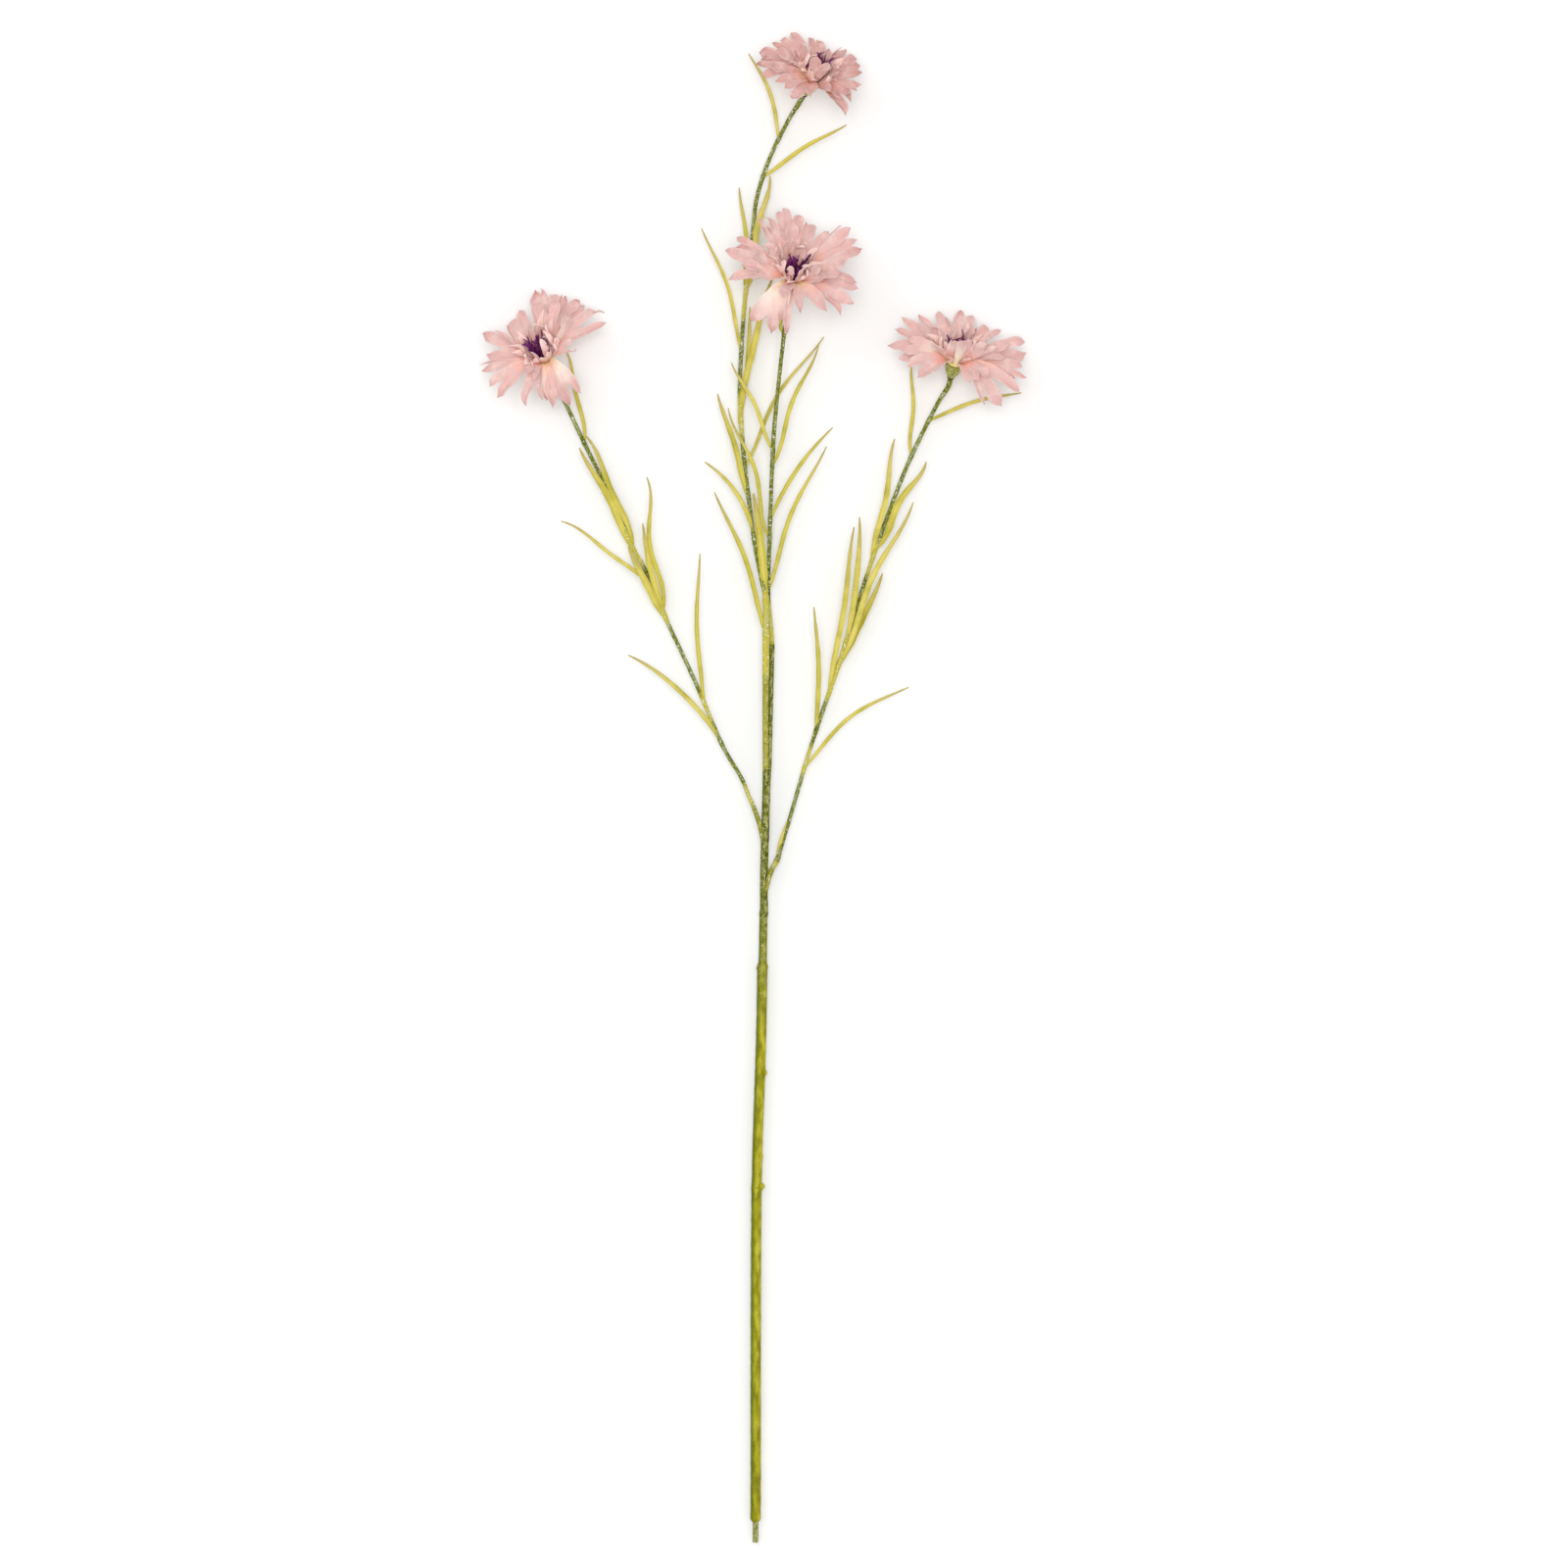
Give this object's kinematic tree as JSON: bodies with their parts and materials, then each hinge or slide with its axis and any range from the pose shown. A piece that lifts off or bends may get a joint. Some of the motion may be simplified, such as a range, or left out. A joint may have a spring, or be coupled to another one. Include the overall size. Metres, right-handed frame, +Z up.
{
  "type": "artificial cornflower spray",
  "caption": "Artificial cornflower spray laid flat: a wired stem with leafy side branches, each ending in a pink fabric bloom with purple stamens.",
  "frame": {"origin": "the middle of the spray's footprint, on the surface that it lies on", "axes": "+Y along the stem from the cut end towards the blooms, +X to the right as seen from above, +Z up from the surface"},
  "size_m": [0.2238, 0.6184, 0.0407],
  "materials": {
    "wire_coating": "steel wire under a thin, matte, pale olive coating",
    "stem_plastic": "matte moulded plastic, mottled olive green with pale flecks",
    "leaf_plastic": "matte moulded plastic, yellow-green leaves on olive branches",
    "cup_plastic": "matte moulded plastic with overlapping scales, mottled green",
    "petal_fabric": "thin pressed fabric, pale pink with a cream throat",
    "stamen_fabric": "cut and curled fabric strips, dark purple"
  },
  "bodies": {
    "root": {"core_wire": "wire_coating", "main_stem": "stem_plastic", "branch_left": "leaf_plastic", "branch_right": "leaf_plastic", "branch_top": "leaf_plastic", "branch_centre": "leaf_plastic", "cup_left": "cup_plastic", "cup_right": "cup_plastic", "cup_top": "cup_plastic", "cup_centre": "cup_plastic", "florets_left": "petal_fabric", "florets_right": "petal_fabric", "florets_top": "petal_fabric", "florets_centre": "petal_fabric", "stamens_left": "stamen_fabric", "stamens_right": "stamen_fabric", "stamens_top": "stamen_fabric", "stamens_centre": "stamen_fabric"}
  },
  "joints": []
}
